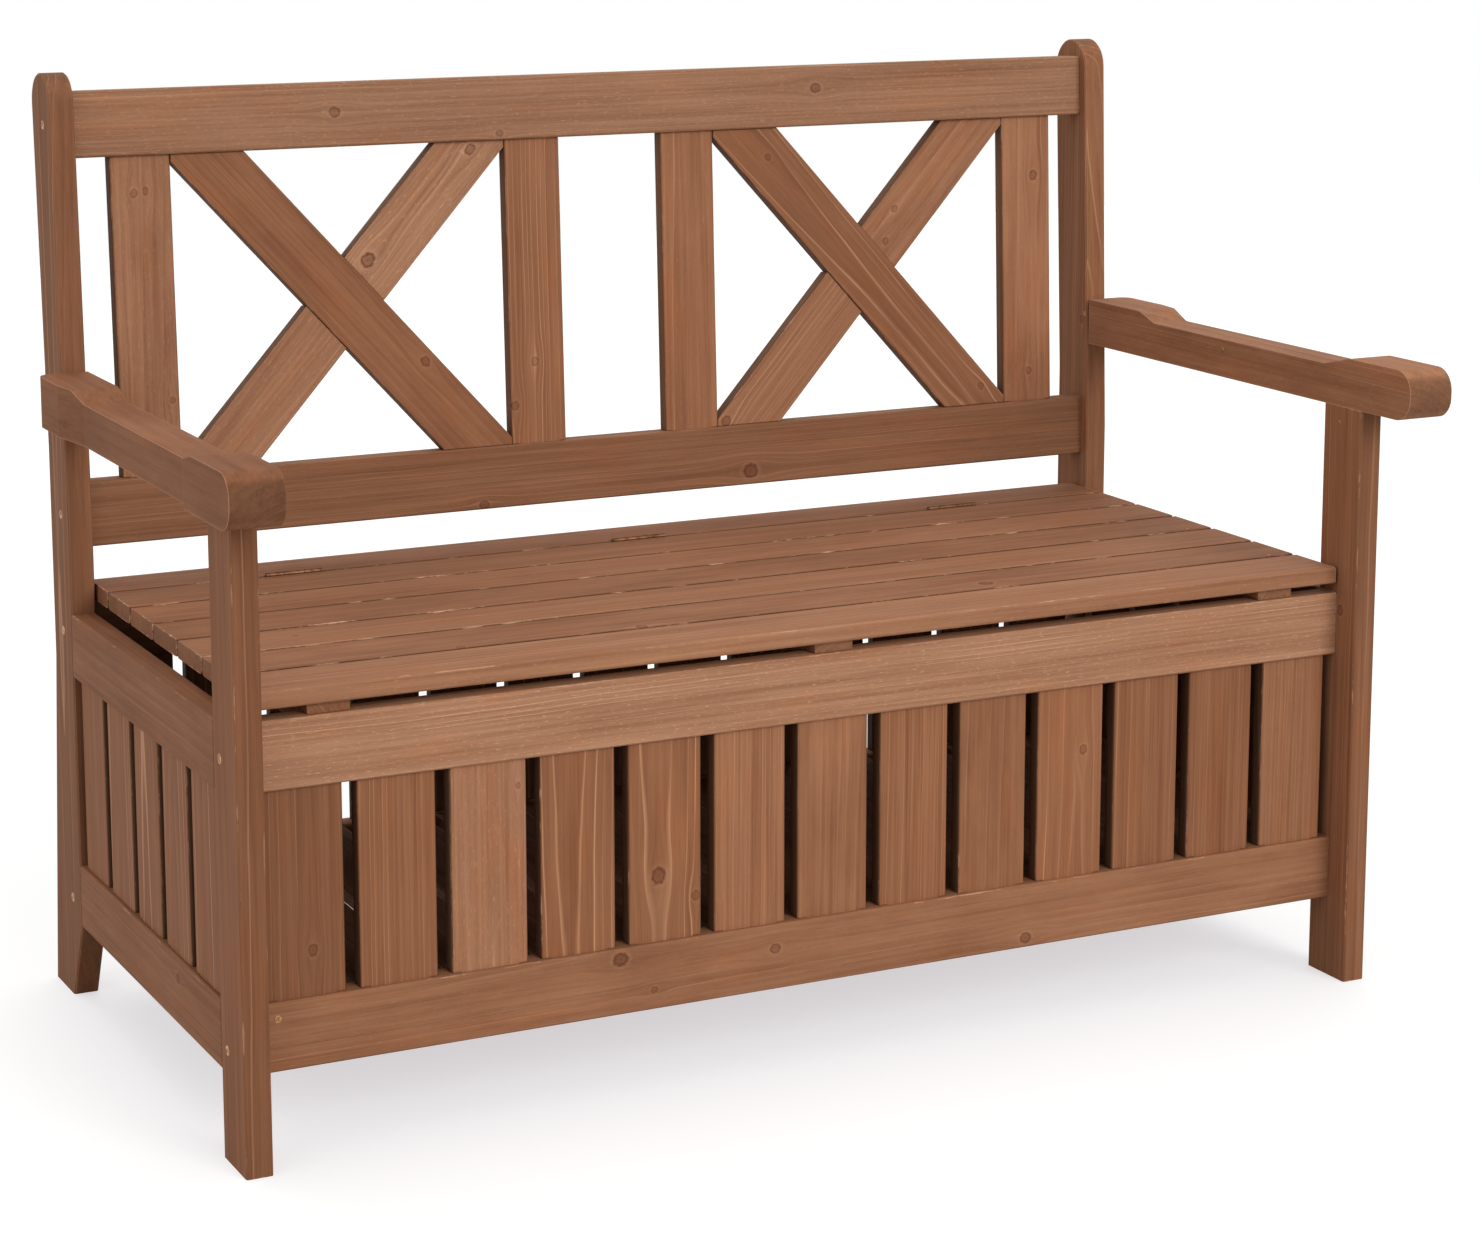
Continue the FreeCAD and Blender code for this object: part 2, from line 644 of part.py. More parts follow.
def screw(name):
    """A countersunk screw along +X from its head, with flats in place of its round sides."""
    body = new_body(name)
    head, shank = regular("screw_head", SCREW_FLATS), regular("screw_shank", SCREW_FLATS)
    top = outline(body, "YZ_Plane", head, "0", "Top")
    neck = outline(body, "YZ_Plane", shank, "screw_sink", "Neck")
    cone = body.newObject("PartDesign::AdditiveLoft", "Head")
    cone.Profile = top
    cone.Sections = [neck]
    cone.Ruled = True
    doc.recompute()
    pad(body, outline(body, "YZ_Plane", shank, "screw_sink", "ShankOutline"),
        "screw_long - screw_sink", "Shank")
    return body


def frame_screws():
    """Screws through the legs into the ends of the rails."""
    half = "leg_thick / 2"
    spots = [(FRONT_RAIL + " + " + half, "low_rail + screw_low"),
             (FRONT_RAIL + " + " + half, "high_rail + rail_high / 2"),
             (REAR_RAIL + " + " + half, "low_rail + screw_low"),
             (REAR_RAIL + " + " + half, "high_rail + rear_rise + rail_high / 2")]
    for low in ("back_low", "back_high"):
        up = "(%s + back_rail / 2)" % low
        back = "lean_run / (rear_top - bend_height) * " + up
        spots.append(("%s + back_set + %s + %s" % (REAR_LEG, half, back), "bend_height + " + up))
    made = []
    for word, side in SIDES.items():
        for i, (y, z) in enumerate(spots):
            body = screw("screw_%s_%d" % (word, i))
            if side > 0:
                body.Placement.Rotation = FreeCAD.Rotation(Z_AXIS, 180)
            place(body, "%d * half_width" % side, y, z)
            made.append(body)
    return compound("frame_screws", made)


def dowel(name, x, y, z, along):
    """A round dowel, placed by the middle of its length."""
    peg = doc.addObject("Part::Cylinder", name)
    bind(peg, "Radius", "dowel_wide / 2")
    bind(peg, "Height", "dowel_long")
    if along == "Y":
        peg.Placement.Rotation = FreeCAD.Rotation(X_AXIS, -90)
        y += " - dowel_long / 2"
    else:
        z += " - dowel_long / 2"
    place(peg, x, y, z)
    return peg


def arm_dowels():
    """Dowels from the front legs up into the arms, and from the arms into the rear legs."""
    made = []
    for word, side in SIDES.items():
        x = "%d * (half_width - leg_thick / 2)" % side
        made.append(dowel("front_dowel_" + word, x, "front + leg_depth / 2", "leg_top", "Z"))
        made.append(dowel("rear_dowel_" + word, x, REAR_LEG, "leg_top + arm_thick / 2", "Y"))
    return compound("arm_dowels", made)


# Hinges

def hinge_leaf(name, which, middle):
    """A leaf with its knuckles, standing in the gap between the lid and the fixed slat."""
    body = new_body(name)
    if which == "fixed":
        y_low, y_high = PIN_Y + " + seat_gap / 2 - hinge_leaf", PIN_Y + " + seat_gap / 2"
    else:
        y_low, y_high = PIN_Y + " - seat_gap / 2", PIN_Y + " - seat_gap / 2 + hinge_leaf"
    start = middle + " - hinge_long / 2"
    plate_top = PIN_Z + " - knuckle / 2 - knuckle_play"
    plate = rectangle(y_low, plate_top + " - hinge_drop", y_high, plate_top)
    pad(body, outline(body, "YZ_Plane", plate, start), "hinge_long", "Plate")
    step = "hinge_long / %d" % KNUCKLES
    first = 0 if which == "fixed" else 1
    for i in range(first, KNUCKLES, 2):
        offset = "%s + %d * %s + knuckle_play / 2" % (start, i, step)
        neck = rectangle(y_low, plate_top, y_high, PIN_Z)
        pad(body, outline(body, "YZ_Plane", neck, offset, "NeckOutline%d" % i),
            step + " - knuckle_play", "Neck%d" % i)
        pad(body, circle(body, "YZ_Plane", PIN_Y, PIN_Z, "knuckle", offset, "Ring%d" % i),
            step + " - knuckle_play", "Knuckle%d" % i)
    bore = "pin_wide" if which == "fixed" else "pin_wide + 2 * pin_play"
    hole = circle(body, "YZ_Plane", PIN_Y, PIN_Z, bore, start + " - past", "Bore")
    pocket(body, hole, "hinge_long + 2 * past", True, "PinBore")
    return body


def hinge_leaves(which):
    return compound("hinge_leaves_" + which, [
        hinge_leaf("hinge_%s_%s" % (which, word), which, sign + "hinge_at")
        for word, sign in THREE_PLACES.items()])


def hinge_pins():
    body = new_body("hinge_pins")
    start = "-hinge_at - hinge_long / 2"
    first = pad(body, circle(body, "YZ_Plane", PIN_Y, PIN_Z, "pin_wide", start), "hinge_long")
    row_of(body, [first], "X_Axis", "2 * hinge_at", str(len(THREE_PLACES)))
    return body


# Assembly: every sub-part under its own name

screws = keep("frame_screws", frame_screws())
dowels = keep("arm_dowels", arm_dowels())
fixings = compound("screws_and_dowels", [screws, dowels])
doc.recompute()

for word, side in SIDES.items():
    fitted("leg_front_" + word, front_leg(word, side), fixings)
    fitted("leg_rear_" + word, rear_leg(word, side), fixings)
    fitted("arm_" + word, arm(word, side), dowels)

for body in (wall_rails("front", FRONT_RAIL, "0 * rear_rise")
             + wall_rails("rear", REAR_RAIL, "rear_rise")):
    fitted(body.Name, body, screws)
for i in range(int(sheet.slat_count)):
    name = "front_slat_%02d" % (i + 1)
    board, _ = slat(name, "XZ_Plane", "%s + %d * slat_pitch" % (FIRST_SLAT, i), LOW_TOP,
                    "high_rail", "-(%s + slat_recess + slat_thick)" % FRONT_RAIL)
    keep(name, board)
board, features = slat("rear_slats", "XZ_Plane", FIRST_SLAT, LOW_TOP, "high_rail + rear_rise",
                       "-(%s + slat_recess + slat_thick)" % REAR_RAIL)
row_of(board, features, "X_Axis", "slat_pitch * (slat_count - 1)", "slat_count")
keep("rear_slats", board)

for word, side in SIDES.items():
    for body in side_rails(word, side):
        keep(body.Name, body)
    board, features = slat("side_slats_" + word, "YZ_Plane", FIRST_SIDE, LOW_TOP, "high_rail",
                           side_wall_x(side)[1][0])
    row_of(board, features, "Y_Axis", "slat_pitch * (side_count - 1)", "side_count")
    keep("side_slats_" + word, board)

for level, low, edge_z, upwards in (("lower", "back_low", PANEL_LOW, False),
                                    ("top", "back_high", "back_high", True)):
    body = back_rail(level, low, edge_z, upwards)
    fitted(body.Name, body, screws)
for i, middle in enumerate(POSTS, start=1):
    name = "back_upright_%d" % i
    keep(name, upright(name, middle))
for word, (left, right) in PANELS.items():
    keep("cross_long_" + word, cross_board("cross_long_" + word, left, right))
    for half in ("upper", "lower"):
        name = "cross_%s_%s" % (half, word)
        keep(name, cross_half(name, left, right, half == "upper"))

keep("floor_cleats", floor_cleats())
keep("floor_boards", floor_boards())

for i in range(int(sheet.lid_count)):
    low = "front + seat_front + %d * (lid_wide + seat_gap)" % i
    name = "lid_slat_%d" % (i + 1)
    keep(name, seat_slat(name, low, low + " + lid_wide"))
for word, sign in THREE_PLACES.items():
    keep("lid_batten_" + word, lid_batten("lid_batten_" + word, sign + "batten_at"))
fixed_low = PIN_Y + " + seat_gap / 2"
keep("seat_slat_fixed", seat_slat("seat_slat_fixed", fixed_low, fixed_low + " + fixed_wide"))
keep("seat_bearers", seat_bearers())

for which in ("fixed", "lid"):
    keep("hinge_leaves_" + which, hinge_leaves(which))
keep("hinge_pins", hinge_pins())

# Checks, then one file for each sub-part

doc.recompute()
bad = [o.Label for o in doc.Objects if "Invalid" in o.State or "Error" in o.State]
if bad:
    sys.exit("failed: " + ", ".join(bad))
for label, thing in parts.items():
    shape = thing.Shape
    if shape.isNull() or not shape.isValid() or not shape.Solids:
        sys.exit("bad shape: " + label)
os.makedirs("parts", exist_ok=True)
for label, thing in parts.items():
    thing.Shape.exportStep("parts/%s.step" % label)
print(len(parts), "sub-parts written")
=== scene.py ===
"""Looks of the slatted settle bench: stained softwood board by board, screws, hinges, light and camera."""
import math
import random

import bmesh
import bpy
from mathutils import Matrix, Vector

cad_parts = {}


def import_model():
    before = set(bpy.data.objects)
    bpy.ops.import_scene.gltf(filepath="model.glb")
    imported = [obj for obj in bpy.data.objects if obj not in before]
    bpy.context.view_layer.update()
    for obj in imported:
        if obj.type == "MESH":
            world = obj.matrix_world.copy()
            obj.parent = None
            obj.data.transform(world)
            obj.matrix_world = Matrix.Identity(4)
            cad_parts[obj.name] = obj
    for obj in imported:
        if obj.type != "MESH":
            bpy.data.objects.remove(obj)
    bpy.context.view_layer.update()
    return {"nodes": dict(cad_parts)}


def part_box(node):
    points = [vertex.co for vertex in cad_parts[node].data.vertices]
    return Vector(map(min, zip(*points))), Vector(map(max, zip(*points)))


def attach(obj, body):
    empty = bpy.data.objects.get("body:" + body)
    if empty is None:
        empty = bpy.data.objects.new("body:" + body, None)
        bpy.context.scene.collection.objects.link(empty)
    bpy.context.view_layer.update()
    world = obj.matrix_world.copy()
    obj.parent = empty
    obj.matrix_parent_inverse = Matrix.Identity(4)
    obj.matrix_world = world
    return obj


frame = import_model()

NODES = frame["nodes"]
MM = 0.001
X, Y, Z = Vector((1, 0, 0)), Vector((0, 1, 0)), Vector((0, 0, 1))

# Camera, found from the bench's own corners in the photograph: place in metres, turns in radians,
# lens in millimetres and shift in widths of the frame
CAMERA_PLACE = (-1.4908, -3.0184, 1.1736)
CAMERA_YAW = 0.4630
CAMERA_DOWN = 0.1779
CAMERA_LENS = 83.905
CAMERA_SHIFT = -0.12

# Light: how strong the sky is, and three suns as strength, where each stands and width in degrees
SKY = 0.60
KEY = (1.55, (0.22, -0.86, 0.42), 35)
TOP = (0.75, (0.10, 0.40, 0.90), 50)
FILL = (0.50, (-0.92, -0.25, 0.30), 60)

# Floor: half its length in metres, what it throws back at the bench, and what the camera sees,
# which is a diffuse colour that takes the shadow and a glow that lifts the rest to white
FLOOR_REACH = 6.0
FLOOR_BOUNCE = (0.46, 0.45, 0.46, 1.0)
FLOOR_SHOWN = (0.50, 0.53, 0.50, 1.0)
FLOOR_GLOW = (1.0, 0.965, 1.0, 1.0)
FLOOR_GLOW_LEVEL = 0.595


def srgb(red, green, blue):
    """A colour given as screen values from 0 to 255, as the linear numbers of a shader."""
    def linear(value):
        value /= 255
        return value / 12.92 if value <= 0.04045 else ((value + 0.055) / 1.055) ** 2.4
    return (linear(red), linear(green), linear(blue), 1.0)


# Stain: the deepest and the lightest it gets, the same on greyer boards, the hard rings that take
# little of it, bare wood and knots. Then the metals of screws, hinges and hinge pins
DEEP = srgb(114, 69, 44)
LIGHT = srgb(167, 114, 80)
GREY_DEEP = srgb(119, 82, 58)
GREY_LIGHT = srgb(175, 133, 104)
PALE = srgb(203, 150, 112)
GREY_PALE = srgb(205, 166, 138)
WORN = srgb(212, 164, 132)
KNOT = srgb(92, 48, 32)
BRASS = srgb(190, 142, 100)
BRONZE = srgb(126, 88, 62)
STEEL = srgb(150, 148, 144)

# Finish: a matt stain, how deep the grain can be felt, and how far a curved piece's arris is felt
STAIN_SHINE = 0.14
GRAIN_DEPTH = 0.5 * MM
ARRIS_REACH = 2.4 * MM

# How light the narrow faces of boards are beside their wide ones: on the slats, back boards and seat slats
# this is painted shade, as most of those faces stand in a gap between boards; the legs' narrow faces are
# simply made darker
SLAT_GAP_SHADE = 0.35
BACK_GAP_SHADE = 0.45
SEAT_GAP_SHADE = 0.30
LEG_SIDE = 0.82

# How far the arrises of straight boards are rounded
SLAT_EASE = 1.2 * MM
RAIL_EASE = 1.4 * MM
BACK_EASE = 1.3 * MM
BATTEN_EASE = 1.0 * MM

# Front slats whose arrises are rubbed most
WORN_SLATS = (4, 5, 9)

# Nodes that hold a row of boards: the axis that repeats, the pitch, the count and half a board
CHEST_ROW = (1, 88 * MM, 13, 37.5 * MM)
SIDE_ROW = (1, 88 * MM, 5, 37.5 * MM)
CLEAT_ROW = (1, 448 * MM, 2, 10 * MM)
BEARER_ROW = (1, 502 * MM, 3, 20 * MM)

# Heads of screws and brads: radius and height of the dome
FRAME_HEAD = (4.7 * MM, 0.5 * MM)
LEAF_HEAD = (2.6 * MM, 0.12 * MM)
BATTEN_HEAD = (3.6 * MM, 0.25 * MM)
RAIL_HEAD = (3.6 * MM, 0.35 * MM)
INNER_HEAD = (2.6 * MM, 0.3 * MM)
BRAD_HEAD = (1.5 * MM, 0.2 * MM)

# A head's cross as shares of its radius, how much smaller the cross is at its bottom, and the head's
# profile as shares of its radius and height
CROSS_ARM = 0.56
CROSS_HALF = 0.13
CROSS_DEEP = 0.30
CROSS_TAPER = 0.8
HEAD_PROFILE = ((1.0, -0.4), (1.0, 0.0), (0.94, 0.45), (0.72, 1.0))
HEAD_SIDES = 28

# Screws in the hinges: the hinges' middles, the pitch of the three screws in a leaf, how far above the
# leaf's lower edge they sit and how thick a leaf is
HINGE_MIDDLES = (-0.380, 0.0, 0.380)
LEAF_SCREW_PITCH = 20 * MM
LEAF_SCREW_RISE = 5.6 * MM
LEAF_THICK = 1.2 * MM

# Frame screws: corners of one head lie within this reach of each other
HEAD_REACH = 12 * MM

# Screws through the battens: share of the slat's width, and how far beside the batten's middle
FIRST_SLAT_SCREWS = ((0.68, -9 * MM), (0.88, 9 * MM))
SLAT_SCREWS = ((0.3, -9 * MM), (0.7, 9 * MM))

# Single screws and brads that the photograph shows: along and up on the rail, back and up on the
# inner faces at the right arm, and along the seat and in from a slat's front edge
RAIL_SCREW = (-0.557, 0.131)
INNER_SCREWS = ((-0.021, 0.623), (-0.229, 0.577), (0.250, 0.627))
BRAD_ALONG = 0.546
BRAD_IN = 6 * MM

# How boards are sawn from the trunk: pith across (in half widths) and behind (m), taper, ring
# spacing (m), and how strong the hard rings, streaks and clouds show
STRAIGHT = {"pith": (4.0, 0.050), "taper": 0.0025, "rings": 0.0044, "figure": 0.62, "streaks": 0.95,
            "clouds": 0.45}
ARCHED = {"pith": (0.22, 0.036), "taper": 0.0115, "rings": 0.0066, "figure": 0.85, "streaks": 0.60,
          "clouds": 0.55}
CLOUDY = {"pith": (1.4, 0.060), "taper": 0.010, "rings": 0.0072, "figure": 0.30, "streaks": 0.50,
          "clouds": 1.10}

# Levels across one growth ring, where the hard line comes last, and from a knot's heart outward,
# where a level above 0.5 is darker than the wood and one below it is paler
RING_LEVELS = ((0.0, 0.0), (0.82, 0.0), (0.91, 0.70), (0.95, 1.0), (0.99, 0.70), (1.0, 0.0))
KNOT_LEVELS = ((0.0, 0.86), (0.10, 0.74), (0.30, 0.70), (0.42, 0.96), (0.50, 0.84), (0.58, 0.50),
               (0.66, 0.42), (0.80, 0.48), (1.0, 0.50))

# Boards that the photograph shows well: how light, how grey, how sawn, and knots as places along
# and across the board (-1 to 1) with a radius in mm
BOARDS = {
    "front_slat_01": (0.78, 0.0, STRAIGHT, [(-0.52, 0.18, 4.5)]),
    "front_slat_02": (0.95, 0.0, STRAIGHT, []),
    "front_slat_03": (1.20, 0.45, ARCHED, [(0.68, 0.78, 2.6)]),
    "front_slat_04": (0.98, 0.0, ARCHED, []),
    "front_slat_05": (0.98, 0.0, ARCHED, [(-0.32, -0.18, 6.5), (-0.55, 0.84, 4.0)]),
    "front_slat_06": (1.12, 0.15, STRAIGHT, []),
    "front_slat_07": (1.04, 0.10, CLOUDY, []),
    "front_slat_08": (1.02, 0.0, STRAIGHT, []),
    "front_slat_09": (0.96, 0.10, CLOUDY, []),
    "front_slat_10": (1.06, 0.0, ARCHED, [(0.30, 0.40, 4.0)]),
    "front_slat_11": (0.92, 0.0, STRAIGHT, []),
    "front_slat_12": (0.90, 0.0, STRAIGHT, []),
    "front_slat_13": (1.00, 0.20, STRAIGHT, []),
    "front_upper_rail": (1.24, 0.75, STRAIGHT, []),
    "front_lower_rail": (1.02, 0.25, CLOUDY,
                         [(-0.39, 0.68, 6.0), (-0.33, -0.40, 3.0), (-0.11, 0.26, 4.5), (0.37, -0.69, 5.0)]),
    "back_top_rail": (1.00, 0.70, STRAIGHT, [(0.42, 0.25, 5.0), (-0.53, 0.08, 5.0), (-0.22, -0.79, 3.5)]),
    "back_lower_rail": (0.81, 0.25, STRAIGHT, [(0.27, -0.55, 7.0), (-0.27, -0.86, 4.5)]),
    "back_upright_1": (1.05, 0.45, CLOUDY, [(0.73, -0.23, 3.5), (0.74, 0.10, 3.5), (-0.51, 0.76, 3.0)]),
    "back_upright_2": (1.02, 0.15, STRAIGHT, [(-0.44, -0.09, 4.0), (-0.71, -0.85, 4.0)]),
    "back_upright_3": (1.10, 0.20, ARCHED, []),
    "back_upright_4": (1.15, 0.25, CLOUDY, [(0.56, 0.30, 4.5), (-0.75, 0.06, 3.5)]),
    "cross_long_left": (0.90, 0.10, CLOUDY, [(-0.44, 0.60, 4.5)]),
    "cross_upper_left": (1.18, 0.70, STRAIGHT, [(0.70, 0.11, 5.0), (-0.80, -0.31, 6.5)]),
    "cross_lower_left": (1.10, 0.55, ARCHED, []),
    "cross_long_right": (0.90, 0.10, ARCHED, [(0.72, 0.05, 3.5), (-0.85, 0.56, 3.5)]),
    "cross_upper_right": (1.05, 0.35, CLOUDY, [(-0.54, -0.40, 3.5), (-0.86, 0.08, 3.5)]),
    "cross_lower_right": (1.08, 0.35, STRAIGHT, [(-0.90, -0.70, 5.0)]),
    "side_lower_rail_left": (0.90, 0.10, CLOUDY, [(-0.42, 0.43, 4.5)]),
    "side_upper_rail_left": (0.86, 0.10, CLOUDY, []),
    "lid_slat_1": (1.14, 0.40, STRAIGHT, []),
    "lid_slat_2": (0.98, 0.25, CLOUDY, [(-0.29, -0.88, 4.5), (-0.61, -0.92, 3.5), (0.38, -0.45, 6.0)]),
    "lid_slat_3": (1.05, 0.25, STRAIGHT, [(-0.82, 0.10, 3.0)]),
    "lid_slat_4": (0.94, 0.20, CLOUDY, []),
    "lid_slat_5": (1.06, 0.25, CLOUDY, []),
    "lid_slat_6": (0.96, 0.20, STRAIGHT, []),
    "seat_slat_fixed": (0.94, 0.20, CLOUDY, []),
    "leg_front_left": (0.92, 0.0, STRAIGHT, []),
    "leg_front_right": (0.98, 0.10, STRAIGHT, [(0.30, -0.20, 4.5)]),
    "leg_rear_left": (0.76, 0.05, ARCHED, []),
    "leg_rear_right": (0.92, 0.10, STRAIGHT, [(0.33, -0.70, 4.0)]),
    "arm_left": (0.84, 0.0, CLOUDY, []),
    "arm_right": (1.07, 0.30, CLOUDY, []),
}


class Net:
    """A node tree with short calls for the nodes that a material needs."""

    def __init__(self, tree):
        self.tree = tree

    def add(self, kind, inputs=(), **settings):
        """A new node with its settings and its inputs, which are values or other nodes' outputs."""
        node = self.tree.nodes.new(kind)
        for name, value in settings.items():
            setattr(node, name, value)
        for key, value in dict(inputs).items():
            self.feed(node.inputs[key], value)
        return node

    def feed(self, socket, value):
        if isinstance(value, bpy.types.NodeSocket):
            self.tree.links.new(value, socket)
        else:
            socket.default_value = value

    def math(self, operation, first, second=0.0, clamp=False):
        node = self.add("ShaderNodeMath", {0: first, 1: second}, operation=operation, use_clamp=clamp)
        return node.outputs[0]

    def vector(self, operation, first, second=(0, 0, 0)):
        node = self.add("ShaderNodeVectorMath", {0: first, 1: second}, operation=operation)
        return node.outputs["Value" if operation in ("DOT_PRODUCT", "LENGTH") else "Vector"]

    def split(self, vector):
        return self.add("ShaderNodeSeparateXYZ", {0: vector}).outputs

    def join(self, x=0.0, y=0.0, z=0.0):
        return self.add("ShaderNodeCombineXYZ", {0: x, 1: y, 2: z}).outputs[0]

    def noise(self, vector, detail, roughness=0.55, colour=False):
        node = self.add("ShaderNodeTexNoise",
                        {"Vector": vector, "Scale": 1.0, "Detail": detail, "Roughness": roughness})
        return node.outputs["Color" if colour else "Fac"]

    def smooth(self, value, low, high, to_low=0.0, to_high=1.0):
        """A soft step between two levels as the value goes from low to high."""
        node = self.add("ShaderNodeMapRange", {0: value, 1: low, 2: high, 3: to_low, 4: to_high},
                        interpolation_type="SMOOTHSTEP")
        return node.outputs[0]

    def ramp(self, value, stops):
        """Levels read from a line through the stops, each a place and a level."""
        node = self.add("ShaderNodeValToRGB", {0: value})
        ends = node.color_ramp.elements
        while len(ends) < len(stops):
            ends.new(0.5)
        for end, (place, level) in zip(ends, stops):
            end.position = place
            end.color = (level, level, level, 1.0)
        return node.outputs["Color"]

    def mix(self, factor, first, second, blend="MIX"):
        node = self.add("ShaderNodeMix", {0: factor, 6: first, 7: second},
                        data_type="RGBA", blend_type=blend)
        return node.outputs[2]


def group(name, inputs, outputs):
    """A new node group with the given sockets: its net, what it is given and what it gives back."""
    tree = bpy.data.node_groups.new(name, "ShaderNodeTree")
    for way, sockets in (("INPUT", inputs), ("OUTPUT", outputs)):
        for socket, kind in sockets.items():
            tree.interface.new_socket(socket, in_out=way, socket_type="NodeSocket" + kind)
    net = Net(tree)
    return net, net.add("NodeGroupInput").outputs, net.add("NodeGroupOutput").inputs


def knot_group():
    """Parts the grain round one knot, and marks it: above 0 the wood is darker, below 0 paler. A knot
    is a little longer along the grain, with a ragged rim."""
    net, given, result = group(
        "knot",
        {"Place": "Vector", "Mark": "Float", "Middle": "Vector", "Radius": "Float", "Force": "Float"},
        {"Place": "Vector", "Mark": "Float"})
    away = net.vector("SUBTRACT", given["Place"], given["Middle"])
    along, across, _ = net.split(away)
    wobble = net.noise(net.vector("MULTIPLY", given["Place"], (240, 240, 240)), 4.0, 0.65)
    reach = net.vector("LENGTH", net.join(net.math("MULTIPLY", along, 0.85), across))
    reach = net.math("DIVIDE", reach, given["Radius"])
    reach = net.math("ADD", reach, net.math("MULTIPLY", net.math("SUBTRACT", wobble, 0.5), 1.1))
    tint = net.ramp(net.math("MULTIPLY", reach, 0.5), KNOT_LEVELS)
    mark = net.math("MULTIPLY", net.math("SUBTRACT", tint, 0.5), 2.0)
    mark = net.math("MULTIPLY", mark, given["Force"])
    net.feed(result["Mark"], net.math("ADD", given["Mark"], mark))
    spread = net.vector("LENGTH", net.join(net.math("MULTIPLY", along, 0.40), across))
    spread = net.math("DIVIDE", spread, net.math("MULTIPLY", given["Radius"], 2.2))
    pull = net.math("EXPONENT", net.math("MULTIPLY", net.math("MULTIPLY", spread, spread), -1.0))
    shift = net.join(0.0, net.math("MULTIPLY", net.math("MULTIPLY", across, pull), -0.92))
    net.feed(result["Place"], net.vector("ADD", given["Place"], shift))
    return net.tree


